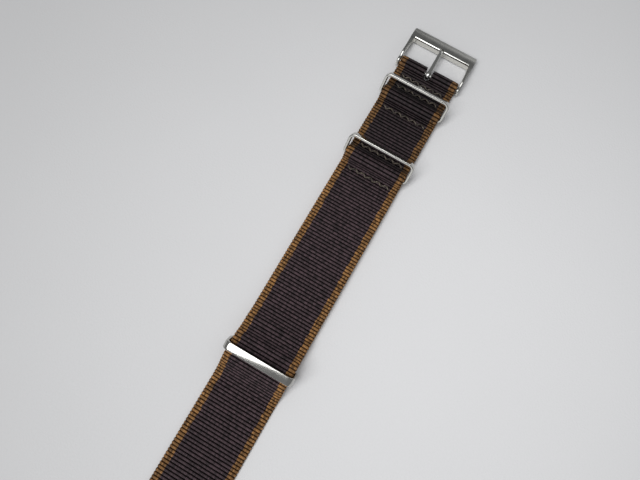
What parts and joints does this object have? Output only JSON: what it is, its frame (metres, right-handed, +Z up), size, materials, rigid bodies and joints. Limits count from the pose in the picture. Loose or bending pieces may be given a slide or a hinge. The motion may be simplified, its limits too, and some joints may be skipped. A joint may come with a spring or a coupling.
{
  "type": "watch strap",
  "caption": "Pass-through watch strap of ribbed fabric webbing, with a pin buckle at one end and steel band keepers that swing in stitched pockets.",
  "frame": {"origin": "middle of the strap's length and width, on the table it lies on", "axes": "+X along the strap towards the buckle, +Y across it, +Z up from the table"},
  "size_m": [0.292, 0.022, 0.0087],
  "materials": {
    "webbing": "ribbed weave, dark brown with a tan stripe along each edge",
    "under_webbing": "ribbed weave, dark brown with a tan stripe along each edge",
    "thread": "twisted thread, matt",
    "satin_steel": "satin",
    "polished_steel": "polished",
    "keeper_steel": "fine satin with bright edges"
  },
  "bodies": {
    "strap": {"long_strap": "webbing", "short_strap": "under_webbing", "stitch_row_buckle": "thread", "stitch_row_front_near": "thread", "stitch_row_front_far": "thread", "stitch_row_middle_near": "thread", "stitch_row_middle_far": "thread", "stitch_row_end": "thread"},
    "buckle": {"buckle_frame": "satin_steel", "buckle_pin": "polished_steel"},
    "tongue": {"buckle_tongue": "polished_steel"},
    "front_ring": {"keeper_front": "keeper_steel"},
    "middle_ring": {"keeper_middle": "keeper_steel"},
    "end_ring": {"keeper_end": "keeper_steel"}
  },
  "joints": [
    {"name": "buckle_turn", "type": "hinge", "parent": "strap", "child": "buckle", "pos_m": [0.13261, 0, 0.0021], "axis": [0, -1, 0], "range_deg": [-80, 50]},
    {"name": "tongue_turn", "type": "hinge", "parent": "buckle", "child": "tongue", "pos_m": [0.13261, 0, 0.0021], "axis": [0, -1, 0], "range_deg": [0, 60]},
    {"name": "front_keeper_turn", "type": "hinge", "parent": "strap", "child": "front_ring", "pos_m": [0.12041, 0, 0.00252], "axis": [0, 1, 0], "range_deg": [-110, 30]},
    {"name": "middle_keeper_turn", "type": "hinge", "parent": "strap", "child": "middle_ring", "pos_m": [0.09751, 0, 0.00252], "axis": [0, 1, 0], "range_deg": [-115, 25]},
    {"name": "end_keeper_turn", "type": "hinge", "parent": "strap", "child": "end_ring", "pos_m": [0.03201, 0, 0.00231], "axis": [0, 1, 0], "range_deg": [-25, 55]}
  ]
}
